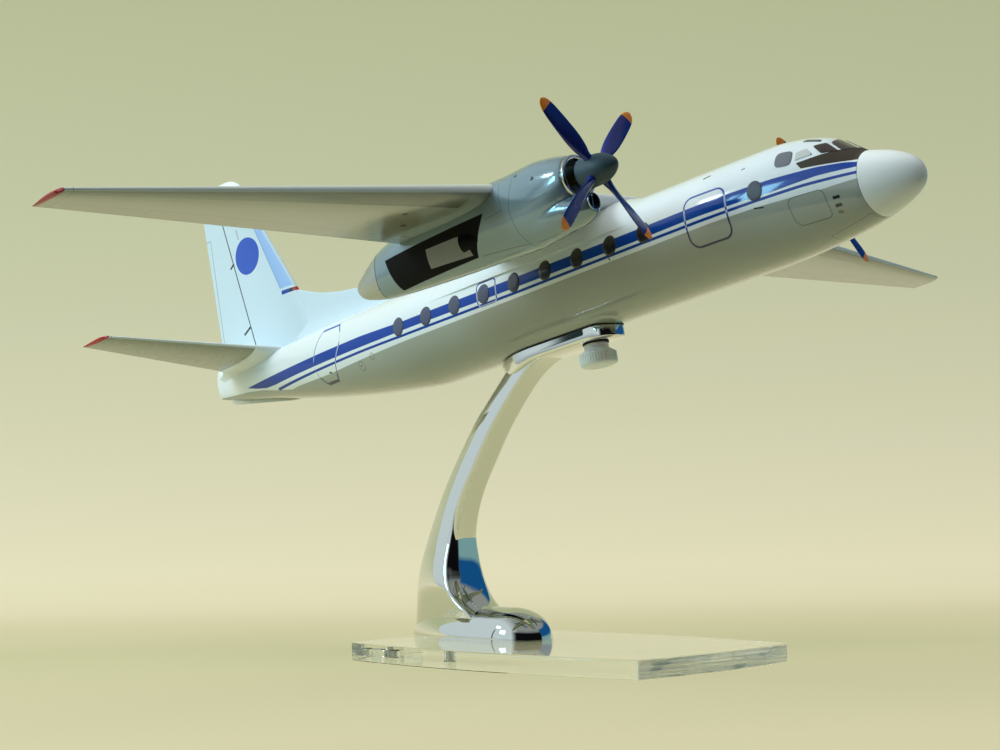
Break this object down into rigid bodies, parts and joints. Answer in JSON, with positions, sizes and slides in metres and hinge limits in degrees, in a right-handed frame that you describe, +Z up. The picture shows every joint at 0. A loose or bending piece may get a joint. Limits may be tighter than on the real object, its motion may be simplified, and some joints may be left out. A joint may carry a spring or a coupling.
{
  "type": "model airliner",
  "caption": "Desk model of a high-wing twin turboprop airliner with turning propellers, on a curved chromed stand with a clear base plate.",
  "frame": {"origin": "centre of the base plate's underside", "axes": "+X towards the nose along the table, +Y towards the left wing tip, +Z up; the aircraft climbs nose up at 11.2 degrees to the table"},
  "size_m": [0.3267, 0.4036, 0.1749],
  "materials": {
    "clear_acrylic": "polished clear acrylic",
    "steel": "bright steel",
    "chrome_cast": "mirror chrome plate on a casting",
    "black_foam": "thin soft pad",
    "black_washer": "thin black washer",
    "white_knob": "white moulded plastic",
    "brass_part": "plain brass",
    "block_resin": "cast plastic",
    "body_paint": "gloss white over light grey with blue stripes",
    "radome_paint": "gloss white",
    "pane_dark": "dark blue-grey tint",
    "wing_paint": "satin light grey with white leading edge and red tips",
    "fin_paint": "gloss pale blue-white",
    "belly_paint": "gloss light grey",
    "nacelle_paint": "gloss light blue-grey",
    "lip_metal": "polished metal",
    "soot_metal": "matt black",
    "tail_metal": "satin metal paint",
    "spinner_paint": "matt grey-green",
    "hub_dark": "dark moulded plastic",
    "blade_paint": "satin dark blue with orange tips"
  },
  "bodies": {
    "airliner": {"base_plate": "clear_acrylic", "base_screw": "steel", "base_pin": "steel", "stand_arm": "chrome_cast", "saddle_pad": "black_foam", "belly_insert": "brass_part", "belly_block": "block_resin", "fuselage_left": "body_paint", "fuselage_right": "body_paint", "nose_radome": "radome_paint", "cockpit_windows": "pane_dark", "cabin_windows_left": "pane_dark", "cabin_windows_right": "pane_dark", "wing_center": "wing_paint", "wing_left": "wing_paint", "wing_right": "wing_paint", "tailplane_left": "wing_paint", "tailplane_right": "wing_paint", "tail_fin": "fin_paint", "fin_cap": "fin_paint", "ventral_keel": "belly_paint", "nacelle_left": "nacelle_paint", "nacelle_right": "nacelle_paint", "intake_ring_left": "lip_metal", "intake_ring_right": "lip_metal", "oil_cooler_left": "lip_metal", "oil_cooler_right": "lip_metal", "exhaust_pipe_left": "soot_metal", "exhaust_pipe_right": "soot_metal", "nacelle_tail_left": "tail_metal", "nacelle_tail_right": "tail_metal", "shaft_bush_left": "brass_part", "shaft_bush_right": "brass_part"},
    "prop_left": {"spinner_left": "spinner_paint", "prop_hub_left": "hub_dark", "prop_shaft_left": "steel", "shaft_collar_left": "steel", "blade_left_1": "blade_paint", "blade_left_2": "blade_paint", "blade_left_3": "blade_paint", "blade_left_4": "blade_paint"},
    "prop_right": {"spinner_right": "spinner_paint", "prop_hub_right": "hub_dark", "prop_shaft_right": "steel", "shaft_collar_right": "steel", "blade_right_1": "blade_paint", "blade_right_2": "blade_paint", "blade_right_3": "blade_paint", "blade_right_4": "blade_paint"},
    "washer": {"screw_washer": "black_washer"},
    "thumb_screw": {"thumb_knob": "white_knob", "thumb_stud": "steel"}
  },
  "joints": [
    {"name": "prop_left_spin", "type": "hinge", "parent": "airliner", "child": "prop_left", "pos_m": [0.06718, 0.0549, 0.14714], "axis": [0.981, 0, 0.1939], "continuous": true},
    {"name": "prop_right_spin", "type": "hinge", "parent": "airliner", "child": "prop_right", "pos_m": [0.06718, -0.0549, 0.14714], "axis": [0.981, 0, 0.1939], "continuous": true},
    {"name": "screw_travel", "type": "slide", "parent": "airliner", "child": "washer", "axis": [0.1939, 0, -0.981], "range_m": [0, 0.0049]},
    {"name": "knob_turn", "type": "hinge", "parent": "washer", "child": "thumb_screw", "pos_m": [0.01654, 0, 0.10217], "axis": [0.1939, 0, -0.981], "range_deg": [0, 2520]}
  ],
  "couplings": [
    {"joint": "knob_turn", "follows": "screw_travel", "rad_per_m": 8976}
  ]
}
